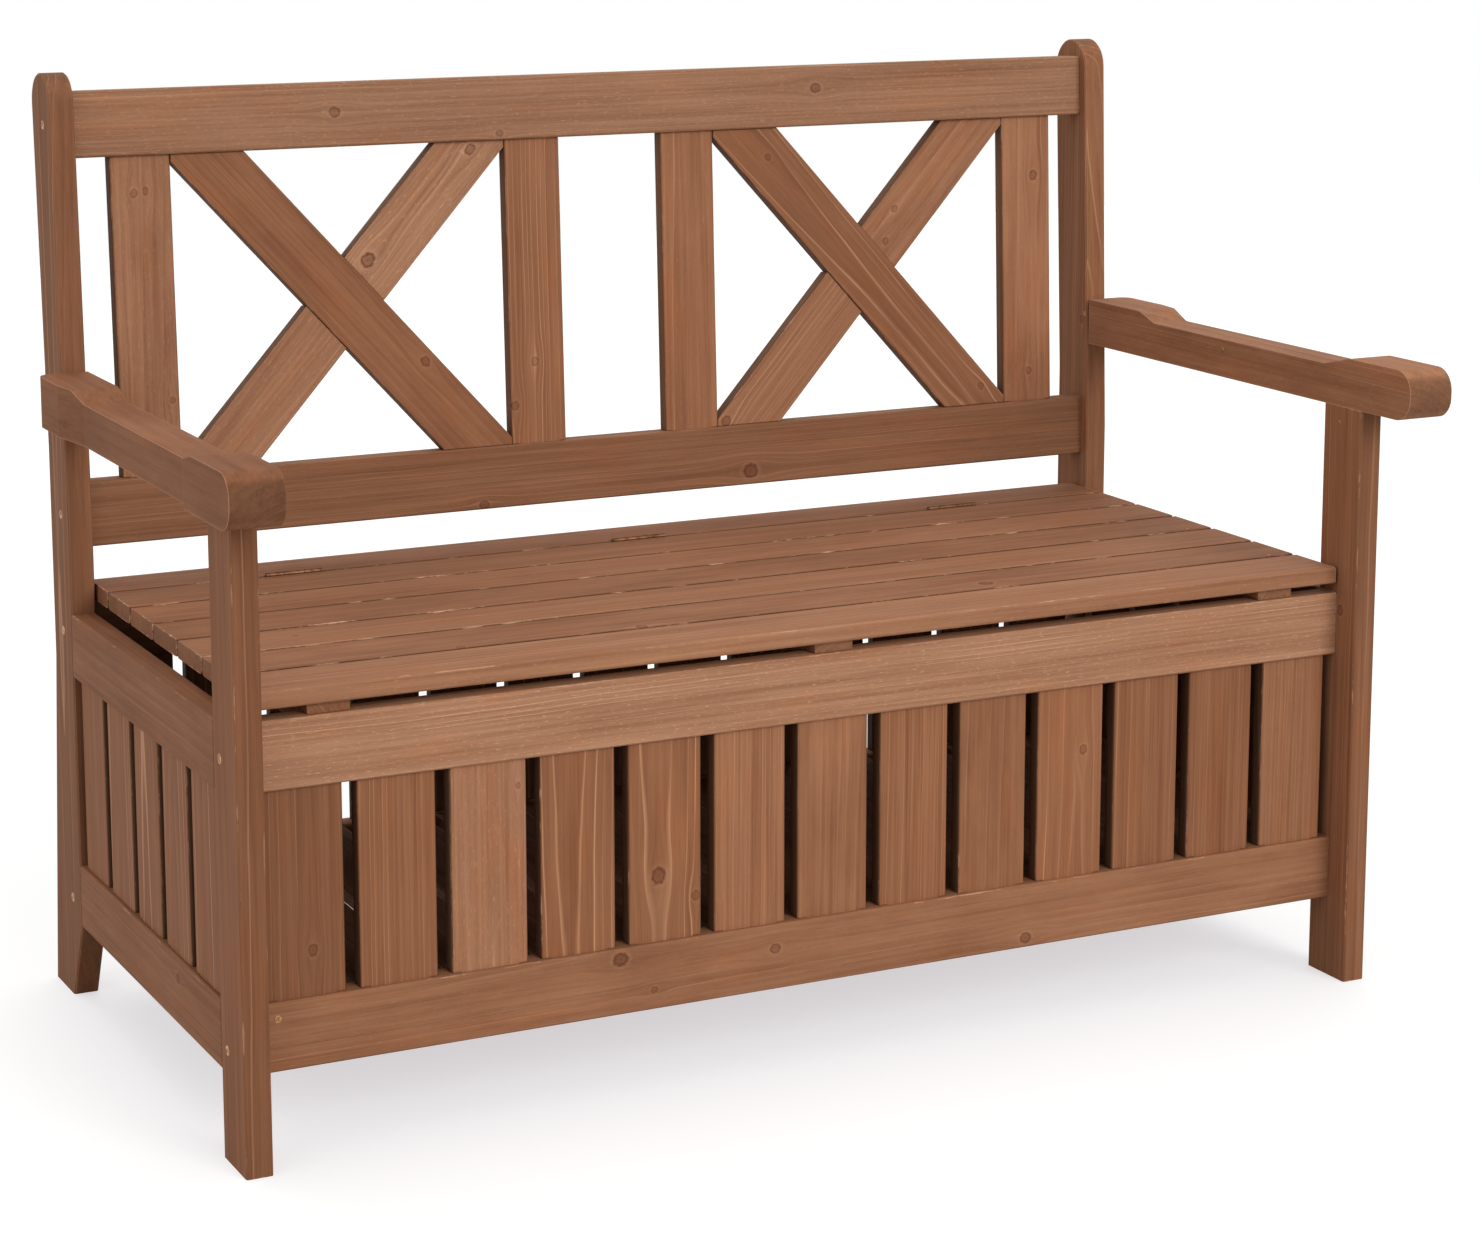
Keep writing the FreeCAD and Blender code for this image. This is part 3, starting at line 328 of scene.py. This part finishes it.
def timber_group():
    """Stained softwood in a board's own space: X along the grain, Y across the face, Z through it.
    A noise's three scales are per metre along these, so a low first one draws it out in streaks."""
    net, given, result = group(
        "timber",
        {"Place": "Vector", "Mark": "Float", "Edge": "Float", "Shade": "Float", "Seed": "Float",
         "Pith": "Vector", "Taper": "Float", "Rings": "Float", "Figure": "Float", "Streaks": "Float",
         "Clouds": "Float", "Flecks": "Float", "Wear": "Float",
         "Deep": "Color", "Light": "Color", "Pale": "Color"},
        {"Color": "Color", "Roughness": "Float", "Height": "Float"})
    place = given["Place"]
    seed = net.join(given["Seed"], net.math("MULTIPLY", given["Seed"], 1.7),
                    net.math("MULTIPLY", given["Seed"], 0.6))
    moved = net.vector("ADD", place, seed)

    def stretched(scale, detail, roughness=0.55, colour=False):
        return net.noise(net.vector("MULTIPLY", moved, scale), detail, roughness, colour)

    def about_zero(value, strength):
        return net.math("MULTIPLY", net.math("SUBTRACT", value, 0.5), strength)

    # Growth rings round a pith beside the board, warped along the trunk
    warp = net.vector("SUBTRACT", stretched((2.6, 7, 7), 2.0, 0.5, True), (0.5, 0.5, 0.5))
    warp = net.vector("MULTIPLY", warp, (0.0, 0.010, 0.010))
    along, across, depth = net.split(
        net.vector("SUBTRACT", net.vector("ADD", place, warp), given["Pith"]))
    radius = net.vector("LENGTH", net.join(0.0, across, depth))
    radius = net.math("ADD", radius, net.math("MULTIPLY", along, given["Taper"]))
    radius = net.math("ADD", radius, about_zero(stretched((12, 120, 120), 2.0), 0.0009))
    turns = net.math("DIVIDE", radius, given["Rings"])
    uneven = net.noise(net.join(net.math("MULTIPLY", turns, 0.47), given["Seed"]), 1.0)
    turns = net.math("ADD", turns, net.math("MULTIPLY", uneven, 1.6))
    part = net.math("FRACT", turns)
    line = net.ramp(part, RING_LEVELS)
    ring = net.math("ADD", net.math("FLOOR", turns), given["Seed"])
    force = net.add("ShaderNodeTexWhiteNoise", {"W": ring}, noise_dimensions="1D").outputs["Value"]
    force = net.math("MULTIPLY", net.smooth(force, 0.15, 1.0, 0.12, 1.0), given["Figure"])
    fading = net.smooth(stretched((5, 36, 36), 2.0), 0.34, 0.62, 0.35, 1.0)
    line = net.math("MULTIPLY", net.math("MULTIPLY", line, force), fading, clamp=True)

    # Fibres, pores and cloudy uptake of the stain
    fine = stretched((16, 900, 900), 3.0, 0.65)
    fibre = stretched((5, 330, 330), 4.0, 0.7)
    streak = stretched((2.2, 120, 120), 3.0, 0.6)
    pores = stretched((60, 1500, 1500), 2.0, 0.6)
    cloud = stretched((6.0, 20, 20), 4.0, 0.62)
    tone = net.math("MULTIPLY", net.math("SUBTRACT", 0.45, part), 0.16)
    for value, share in ((fine, 0.35), (fibre, 0.80), (streak, given["Streaks"]), (cloud, given["Clouds"])):
        tone = net.math("ADD", tone, about_zero(value, share))
    tone = net.math("ADD", tone, 0.5, clamp=True)
    colour = net.mix(tone, given["Deep"], given["Light"])
    warm = net.smooth(stretched((8, 34, 34), 3.0), 0.48, 0.74, 0.0, 0.60)
    colour = net.mix(warm, colour, (1.10, 0.93, 0.80, 1.0), "MULTIPLY")
    dots = net.smooth(pores, 0.60, 0.74, 0.0, 0.34)
    colour = net.mix(dots, colour, given["Deep"])
    colour = net.mix(line, colour, given["Pale"])
    fleck = net.smooth(stretched((130, 620, 620), 3.0, 0.7), 0.56, 0.72)
    colour = net.mix(net.math("MULTIPLY", fleck, given["Flecks"]), colour, given["Pale"])
    # Narrow faces are mixed towards black, painted shade for boards whose narrow faces stand in gaps; the
    # same mix darkens the end grain, which takes more stain
    colour = net.mix(given["Shade"], (0.0, 0.0, 0.0, 1.0), colour)
    colour = net.mix(net.math("MAXIMUM", given["Mark"], 0.0, True), colour, KNOT)
    colour = net.mix(net.math("MULTIPLY", given["Mark"], -1.0, True), colour, given["Pale"])

    # Arrises rubbed bare, broken up along the board
    rag = net.noise(net.vector("MULTIPLY", moved, (22, 150, 150)), 5.0, 0.75)
    width = net.math("MULTIPLY", net.smooth(rag, 0.42, 0.72), 0.0026)
    rub = net.math("DIVIDE", given["Edge"], net.math("ADD", width, 0.0001))
    rub = net.math("MULTIPLY", net.smooth(rub, 0.30, 1.05, 1.0, 0.0), given["Wear"], clamp=True)
    net.feed(result["Color"], net.mix(rub, colour, WORN))

    rough = net.math("ADD", 0.60, net.math("MULTIPLY", fibre, 0.20))
    rough = net.math("ADD", rough, net.math("MULTIPLY", rub, 0.10))
    net.feed(result["Roughness"], net.math("SUBTRACT", rough, net.math("MULTIPLY", line, 0.08)))
    height = net.math("ADD", net.math("MULTIPLY", fibre, 0.6), net.math("MULTIPLY", line, 0.3))
    height = net.math("SUBTRACT", height, net.math("MULTIPLY", dots, 0.9))
    net.feed(result["Height"], net.math("SUBTRACT", height, net.math("MULTIPLY", given["Mark"], 0.3)))
    return net.tree


KNOT_GROUP = knot_group()
TIMBER_GROUP = timber_group()


def positive(axis):
    """The same line, pointed along its largest coordinate."""
    return axis.normalized() * math.copysign(1, max(axis, key=abs))


def outline_edges(mesh):
    """Edges that only one facet uses, which outline the flat faces of a packed board."""
    users = {}
    for polygon in mesh.polygons:
        for key in polygon.edge_keys:
            users[key] = users.get(key, 0) + 1
    return [key for key, count in users.items() if count == 1]


def board_axes(node):
    """Grain, width and thickness directions of a straight board: its longest edge and widest face."""
    mesh = NODES[node].data
    areas = {}
    for polygon in mesh.polygons:
        normal = positive(polygon.normal)
        key = tuple(round(value, 2) for value in normal)
        areas[key] = (areas.get(key, (0.0,))[0] + polygon.area, normal)
    thick = max(areas.values(), key=lambda entry: entry[0])[1]
    edges = (mesh.vertices[b].co - mesh.vertices[a].co for a, b in outline_edges(mesh))
    grain = positive(max(edges, key=lambda edge: edge.length))
    return grain, positive(thick.cross(grain)), thick


def spans(node, axes):
    """The middle of a node along three directions, and half its size along each."""
    points = [vertex.co for vertex in NODES[node].data.vertices]
    lows = [min(point.dot(axis) for point in points) for axis in axes]
    highs = [max(point.dot(axis) for point in points) for axis in axes]
    middles = [(low + high) / 2 for low, high in zip(lows, highs)]
    return middles, [(high - low) / 2 for low, high in zip(lows, highs)]


def shaded(colour, factor):
    """A colour made lighter or darker."""
    return tuple(value * factor for value in colour[:3]) + (1.0,)


def blended(first, second, share, factor):
    """A colour between two others, made lighter or darker."""
    return shaded([(1 - share) * a + share * b for a, b in zip(first, second)], factor)


def dressed(name, colour, roughness, metallic=0.0):
    """A material with its net and its shader."""
    material = bpy.data.materials.new(name)
    material.use_nodes = True
    net = Net(material.node_tree)
    shader = material.node_tree.nodes["Principled BSDF"]
    net.feed(shader.inputs["Base Color"], colour)
    net.feed(shader.inputs["Roughness"], roughness)
    net.feed(shader.inputs["Metallic"], metallic)
    return material, net, shader


def nearest_arris(net, flat, halves):
    """How far the nearest arris of a straight board is: the middle one of the three gaps to its box."""
    gaps = net.split(net.vector("SUBTRACT", tuple(halves), net.vector("ABSOLUTE", flat)))
    low = net.math("MINIMUM", gaps[0], gaps[1])
    high = net.math("MAXIMUM", gaps[0], gaps[1])
    return net.math("MAXIMUM", low, net.math("MINIMUM", high, gaps[2]))


def felt_arris(net):
    """The same for a curved piece, from how the surface turns within a few millimetres."""
    rounded = net.add("ShaderNodeBevel", {"Radius": ARRIS_REACH}, samples=6).outputs[0]
    normal = net.add("ShaderNodeNewGeometry").outputs["Normal"]
    turn = net.math("SUBTRACT", 1.0, net.vector("DOT_PRODUCT", rounded, normal))
    return net.smooth(turn, 0.02, 0.14, 3.0 * MM, 0.0)


def knotted(net, place, knots, halves):
    """A place on a board and the mark there, passed through every knot of the board."""
    mark = 0.0
    for along, across, radius in knots:
        # Small knots are fainter
        force = 0.9 if radius >= 6 else 0.75 if radius >= 4.5 else 0.6
        given = {"Place": place, "Mark": mark, "Middle": (along * halves[0], across * halves[1], 0.0),
                 "Radius": radius * MM, "Force": force}
        step = net.add("ShaderNodeGroup", given, node_tree=KNOT_GROUP)
        place, mark = step.outputs["Place"], step.outputs["Mark"]
    return place, mark


def timber(node, axes, wear=0.5, favour=-1, side=1.0, end=0.80, row=None, curved=False):
    """Gives a node its wood along three axes: grain, width and thickness. Favour says which edge is worn
    most, side how light the narrow faces are, which paints shade where they stand in gaps, end how light
    the end grain is, and row how boards repeat in the node."""
    chance = random.Random(node)
    sawn = chance.choice((STRAIGHT, STRAIGHT, ARCHED, CLOUDY))
    plain = (chance.uniform(0.88, 1.06), chance.uniform(0.0, 0.3), sawn, [])
    tone, grey, sawn, knots = BOARDS.get(node, plain)
    middles, halves = spans(node, axes)
    material, net, shader = dressed("wood_" + node, DEEP, 0.6)
    spot = net.add("ShaderNodeTexCoord").outputs
    parts = [net.math("SUBTRACT", net.vector("DOT_PRODUCT", spot["Object"], tuple(axis)), middle)
             for axis, middle in zip(axes, middles)]
    seed = chance.uniform(1, 9)
    if row:
        which, pitch, count, half = row
        cell = net.math("FLOOR", net.math("ADD", net.math("DIVIDE", parts[which], pitch), count / 2))
        back = net.math("MULTIPLY", net.math("SUBTRACT", cell, (count - 1) / 2), pitch)
        parts[which] = net.math("SUBTRACT", parts[which], back)
        seed = net.math("ADD", net.math("MULTIPLY", cell, 3.71), seed)
        halves[which] = half
    flat = net.join(*parts)
    place, mark = knotted(net, flat, knots, halves)
    # Painted shade on the narrow faces that face the gaps between boards, and darker end grain
    aside, endwise = [net.math("ABSOLUTE", net.vector("DOT_PRODUCT", spot["Normal"], tuple(axis)))
                      for axis in (axes[1], axes[0])]
    aside = net.smooth(aside, 0.4, 0.8, 1.0, side)
    endwise = net.smooth(endwise, 0.6, 0.9, 1.0, end)
    way = chance.choice((-1, 1))
    worn = wear * chance.uniform(0.5, 1.0)
    edges = (worn, 0.3 * worn) if favour < 0 else (0.3 * worn, worn)
    settings = {
        "Place": place, "Mark": mark, "Seed": seed, "Shade": net.math("MULTIPLY", aside, endwise),
        "Wear": net.smooth(parts[1], -0.2 * halves[1], 0.2 * halves[1], *edges),
        "Edge": felt_arris(net) if curved else nearest_arris(net, flat, halves),
        "Pith": (0.0, way * sawn["pith"][0] * halves[1], -sawn["pith"][1]),
        "Taper": way * sawn["taper"] * chance.uniform(0.8, 1.25),
        "Rings": sawn["rings"] * chance.uniform(0.85, 1.2),
        "Figure": sawn["figure"], "Streaks": sawn["streaks"], "Clouds": sawn["clouds"],
        "Flecks": 0.6 * grey, "Deep": blended(DEEP, GREY_DEEP, grey, tone),
        "Light": blended(LIGHT, GREY_LIGHT, grey, tone), "Pale": blended(PALE, GREY_PALE, grey, tone)}
    wood = net.add("ShaderNodeGroup", settings, node_tree=TIMBER_GROUP)
    net.feed(shader.inputs["Base Color"], wood.outputs["Color"])
    net.feed(shader.inputs["Roughness"], wood.outputs["Roughness"])
    net.feed(shader.inputs["Specular IOR Level"], STAIN_SHINE)
    height = wood.outputs["Height"]
    bump = net.add("ShaderNodeBump", {"Strength": 0.3, "Distance": GRAIN_DEPTH, "Height": height})
    net.feed(shader.inputs["Normal"], bump.outputs[0])
    NODES[node].material_slots[0].material = material


def eased(node, width):
    """Rounds a board's arrises, which sandpaper leaves a little soft."""
    piece = NODES[node]
    weld = piece.modifiers.new("joined_faces", "WELD")
    weld.merge_threshold = 0.01 * MM
    flat = piece.modifiers.new("whole_faces", "DECIMATE")
    flat.decimate_type = "DISSOLVE"
    flat.angle_limit = math.radians(0.5)
    bevel = piece.modifiers.new("eased_arrises", "BEVEL")
    bevel.width = width
    bevel.segments = 2
    bevel.limit_method = "ANGLE"
    bevel.angle_limit = math.radians(40)


def chest():
    """Walls, floor and cleats of the chest."""
    for i in range(1, 14):
        name = "front_slat_%02d" % i
        timber(name, (Z, X, Y), side=SLAT_GAP_SHADE, wear=1.0 if i in WORN_SLATS else 0.3)
        eased(name, SLAT_EASE)
    timber("rear_slats", (Z, X, Y), side=SLAT_GAP_SHADE, row=CHEST_ROW)
    eased("rear_slats", SLAT_EASE)
    for level in ("upper", "lower"):
        for place in ("front", "rear"):
            timber("%s_%s_rail" % (place, level), (X, Z, Y), wear=0.8, favour=1)
            eased("%s_%s_rail" % (place, level), RAIL_EASE)
        for word in ("left", "right"):
            timber("side_%s_rail_%s" % (level, word), (Y, Z, X), favour=1)
            eased("side_%s_rail_%s" % (level, word), RAIL_EASE)
    for word in ("left", "right"):
        timber("side_slats_" + word, (Z, Y, X), side=SLAT_GAP_SHADE, row=SIDE_ROW)
        eased("side_slats_" + word, SLAT_EASE)
    timber("floor_boards", (Y, X, Z), row=CHEST_ROW)
    timber("floor_cleats", (X, Y, Z), row=CLEAT_ROW)


def legs_and_arms():
    """Legs, arms and the dowels between them."""
    for word in ("left", "right"):
        timber("leg_front_" + word, (Z, Y, X), side=LEG_SIDE)
        timber("leg_rear_" + word, (Z, Y, X), wear=0.6, curved=True)
        timber("arm_" + word, (Y, X, Z), wear=0.55, end=0.64, curved=True)
    timber("arm_dowels", (Z, Y, X), wear=0.0)


def back():
    """Rails, uprights and crosses of the back."""
    names = ["back_lower_rail", "back_top_rail"] + ["back_upright_%d" % i for i in range(1, 5)]
    for which in ("long", "upper", "lower"):
        names += ["cross_%s_%s" % (which, word) for word in ("left", "right")]
    for name in names:
        timber(name, board_axes(name), side=1.0 if "rail" in name else BACK_GAP_SHADE)
        eased(name, BACK_EASE)


def seat():
    """Slats of the seat, and the battens and bearers under them."""
    timber("lid_slat_1", (X, Y, Z), wear=1.2)
    for name in ["lid_slat_%d" % i for i in range(2, 7)] + ["seat_slat_fixed"]:
        timber(name, (X, Y, Z), wear=1.2, side=SEAT_GAP_SHADE)
    for word in ("left", "middle", "right"):
        timber("lid_batten_" + word, (Y, X, Z), wear=0.3)
        eased("lid_batten_" + word, BATTEN_EASE)
    timber("seat_bearers", (Y, X, Z), wear=0.3, row=BEARER_ROW)


def metal(name, colour, rough):
    """Dull plated metal with brighter scratches and darker tarnish."""
    material, net, shader = dressed(name, colour, rough, 1.0)
    spot = net.add("ShaderNodeTexCoord").outputs["Object"]
    tarnish = net.noise(net.vector("MULTIPLY", spot, (180, 180, 180)), 4.0, 0.65)
    scratch = net.noise(net.vector("MULTIPLY", spot, (1500, 400, 2600)), 2.0, 0.5)
    tint = net.mix(net.smooth(tarnish, 0.35, 0.7), colour, shaded(colour, 0.45))
    bright = net.smooth(scratch, 0.6, 0.8, 0.0, 0.5)
    net.feed(shader.inputs["Base Color"], net.mix(bright, tint, shaded(colour, 1.5)))
    net.feed(shader.inputs["Roughness"], net.smooth(tarnish, 0.3, 0.7, rough - 0.08, rough + 0.14))
    bump = net.add("ShaderNodeBump", {"Strength": 0.2, "Distance": 0.1 * MM, "Height": scratch})
    net.feed(shader.inputs["Normal"], bump.outputs[0])
    return material


def head_mesh(radius, dome):
    """A screw head that looks along +Z, a low dome with a cross cut into it: its rim lies at 0."""
    form = bmesh.new()
    turns = [2 * math.pi * i / HEAD_SIDES for i in range(HEAD_SIDES)]

    def ring(part, height):
        return [form.verts.new((radius * part * math.cos(t), radius * part * math.sin(t), height))
                for t in turns]

    rings = [ring(part, share * dome) for part, share in HEAD_PROFILE]
    for low, high in zip(rings, rings[1:]):
        for i in range(HEAD_SIDES):
            j = (i + 1) % HEAD_SIDES
            form.faces.new((low[i], low[j], high[j], high[i]))
    a, b = CROSS_ARM * radius, CROSS_HALF * radius
    cross = [(a, -b), (a, b), (b, b), (b, a), (-b, a), (-b, b), (-a, b), (-a, -b), (-b, -b), (-b, -a),
             (b, -a), (b, -b)]
    mouth = [form.verts.new((x, y, dome)) for x, y in cross]
    depth = dome - CROSS_DEEP * radius
    bottom = [form.verts.new((x * CROSS_TAPER, y * CROSS_TAPER, depth)) for x, y in cross]
    edges = [form.edges.new((mouth[i], mouth[(i + 1) % len(mouth)])) for i in range(len(mouth))]
    edges += [form.edges.get((rings[-1][i], rings[-1][(i + 1) % HEAD_SIDES])) for i in range(HEAD_SIDES)]
    bmesh.ops.triangle_fill(form, use_beauty=True, edges=edges, normal=(0, 0, 1))
    for i in range(len(cross)):
        j = (i + 1) % len(cross)
        form.faces.new((mouth[i], mouth[j], bottom[j], bottom[i]))
    form.faces.new(bottom)
    bmesh.ops.recalc_face_normals(form, faces=form.faces)
    return form


def heads(name, spots, size, body, material):
    """One piece of equal screw heads, each given by its place and the way it looks."""
    whole = bpy.data.meshes.new(name)
    joined = bmesh.new()
    for i, (place, towards) in enumerate(spots):
        form = head_mesh(*size)
        turn = Vector(towards).to_track_quat("Z", "Y").to_matrix().to_4x4()
        turn.translation = Vector(place)
        spin = random.Random(name + str(i)).uniform(0, math.pi / 2)
        bmesh.ops.rotate(form, cent=(0, 0, 0), matrix=Matrix.Rotation(spin, 3, "Z"), verts=form.verts)
        bmesh.ops.transform(form, matrix=turn, verts=form.verts)
        part = bpy.data.meshes.new("part")
        form.to_mesh(part)
        joined.from_mesh(part)
        bpy.data.meshes.remove(part)
        form.free()
    joined.to_mesh(whole)
    joined.free()
    whole.materials.append(material)
    piece = bpy.data.objects.new(name, whole)
    bpy.context.scene.collection.objects.link(piece)
    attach(piece, body)


def screw_spots():
    """Where the frame screws enter the outer faces of the legs, read from the screws themselves."""
    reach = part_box("frame_screws")[1].x
    spots = []
    for vertex in NODES["frame_screws"].data.vertices:
        if abs(abs(vertex.co.x) - reach) > 0.1 * MM:
            continue
        near = [s for s in spots if (s[0] - vertex.co).length < HEAD_REACH]
        if near:
            near[0][1].append(vertex.co)
        else:
            spots.append((vertex.co, [vertex.co]))
    middles = []
    for _, members in spots:
        lows = [min(m[i] for m in members) for i in range(3)]
        highs = [max(m[i] for m in members) for i in range(3)]
        middles.append(Vector([(low + high) / 2 for low, high in zip(lows, highs)]))
    return [(middle, (math.copysign(1, middle.x), 0, 0)) for middle in middles]


def hinges():
    """Metal of the hinges, and the screws that hold their leaves."""
    bronze = metal("metal_hinges", BRONZE, 0.48)
    NODES["hinge_leaves_fixed"].material_slots[0].material = bronze
    NODES["hinge_leaves_lid"].material_slots[0].material = bronze
    NODES["hinge_pins"].material_slots[0].material = metal("metal_pins", STEEL, 0.4)
    gap_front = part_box("lid_slat_6")[1].y
    gap_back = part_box("seat_slat_fixed")[0].y
    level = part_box("hinge_leaves_fixed")[0].z + LEAF_SCREW_RISE
    across = [middle + step * LEAF_SCREW_PITCH for middle in HINGE_MIDDLES for step in (-1, 0, 1)]
    fixed = [((x, gap_back - LEAF_THICK, level), (0, -1, 0)) for x in across]
    moving = [((x, gap_front + LEAF_THICK, level), (0, 1, 0)) for x in across]
    heads("hinge_screws_fixed", fixed, LEAF_HEAD, "frame", bronze)
    heads("hinge_screws_lid", moving, LEAF_HEAD, "lid", bronze)


def batten_screws():
    """Where screws go up through the battens into the slats of the lid: two in each crossing."""
    spots = []
    for word in ("left", "middle", "right"):
        low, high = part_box("lid_batten_" + word)
        middle = (low.x + high.x) / 2
        for i in range(1, 7):
            near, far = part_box("lid_slat_%d" % i)
            for part, aside in FIRST_SLAT_SCREWS if i == 1 else SLAT_SCREWS:
                spots.append(((middle + aside, near.y + part * (far.y - near.y), low.z), (0, 0, -1)))
    return spots


def fasteners():
    """Screws of the frame, hinges, screws of the lid, and brads in the seat."""
    brass = metal("metal_screws", BRASS, 0.36)
    NODES["frame_screws"].material_slots[0].material = brass
    heads("frame_screw_heads", screw_spots(), FRAME_HEAD, "frame", brass)
    hinges()
    heads("batten_screw_heads", batten_screws(), BATTEN_HEAD, "lid", brass)
    rail_spot = (RAIL_SCREW[0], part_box("front_lower_rail")[0].y, RAIL_SCREW[1])
    heads("rail_screw_head", [(rail_spot, (0, -1, 0))], RAIL_HEAD, "frame", brass)
    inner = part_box("leg_front_right")[0].x
    inner_spots = [((inner, y, z), (-1, 0, 0)) for y, z in INNER_SCREWS]
    heads("inner_screw_heads", inner_spots, INNER_HEAD, "frame", brass)
    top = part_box("lid_slat_1")[1].z
    fronts = [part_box("lid_slat_%d" % i)[0].y for i in (2, 3, 4)]
    brads = [((BRAD_ALONG, front + BRAD_IN, top), (0, 0, 1)) for front in fronts]
    heads("seat_brads", brads, BRAD_HEAD, "lid", brass)


def camera():
    """A camera where the photograph was taken from."""
    data = bpy.data.cameras.new("camera")
    data.sensor_width = 36
    data.lens = CAMERA_LENS
    data.shift_y = CAMERA_SHIFT
    seer = bpy.data.objects.new("camera", data)
    seer.location = CAMERA_PLACE
    seer.rotation_euler = (math.pi / 2 - CAMERA_DOWN, 0, -CAMERA_YAW)
    bpy.context.scene.collection.objects.link(seer)
    bpy.context.scene.camera = seer


def sun(name, level, towards, angle):
    """A soft lamp far away in the direction that is given."""
    data = bpy.data.lights.new(name, "SUN")
    data.energy = level
    data.angle = math.radians(angle)
    lamp = bpy.data.objects.new(name, data)
    lamp.rotation_euler = Vector(towards).to_track_quat("Z", "Y").to_euler()
    bpy.context.scene.collection.objects.link(lamp)


def seen_rays(net):
    """1 for the rays that should show the white background: camera, mirror and glass rays."""
    path = net.add("ShaderNodeLightPath").outputs
    seen = net.math("MAXIMUM", path["Is Camera Ray"], path["Is Glossy Ray"])
    return net.math("MAXIMUM", seen, path["Is Transmission Ray"])


def world():
    """An even sky that the camera sees as plain white."""
    sky = bpy.data.worlds.new("sky")
    sky.use_nodes = True
    bpy.context.scene.world = sky
    net = Net(sky.node_tree)
    background = sky.node_tree.nodes["Background"]
    net.feed(background.inputs["Color"], (1.0, 1.0, 1.0, 1.0))
    level = net.math("ADD", SKY, net.math("MULTIPLY", seen_rays(net), 1.0 - SKY))
    net.feed(background.inputs["Strength"], level)


def floor():
    """A plain pale floor that the camera sees as white, apart from the bench's shadow."""
    material, net, shader = dressed("floor", FLOOR_BOUNCE, 0.9)
    shader.inputs["Specular IOR Level"].default_value = 0.0
    soft = net.add("ShaderNodeBsdfDiffuse", {"Color": FLOOR_SHOWN})
    glow = net.add("ShaderNodeEmission", {"Color": FLOOR_GLOW, "Strength": FLOOR_GLOW_LEVEL})
    shown = net.add("ShaderNodeAddShader", {0: soft.outputs[0], 1: glow.outputs[0]})
    choice = net.add("ShaderNodeMixShader",
                     {0: seen_rays(net), 1: shader.outputs[0], 2: shown.outputs[0]})
    net.feed(material.node_tree.nodes["Material Output"].inputs["Surface"], choice.outputs[0])
    mesh = bpy.data.meshes.new("floor")
    corners = [(x * FLOOR_REACH, y * FLOOR_REACH, 0.0) for x, y in ((-1, -1), (1, -1), (1, 1), (-1, 1))]
    mesh.from_pydata(corners, [], [(0, 1, 2, 3)])
    mesh.materials.append(material)
    piece = bpy.data.objects.new("floor", mesh)
    bpy.context.scene.collection.objects.link(piece)


chest()
legs_and_arms()
back()
seat()
fasteners()
camera()
sun("key", *KEY)
sun("fill", *FILL)
sun("top", *TOP)
world()
floor()
bpy.context.scene.view_settings.view_transform = "Standard"
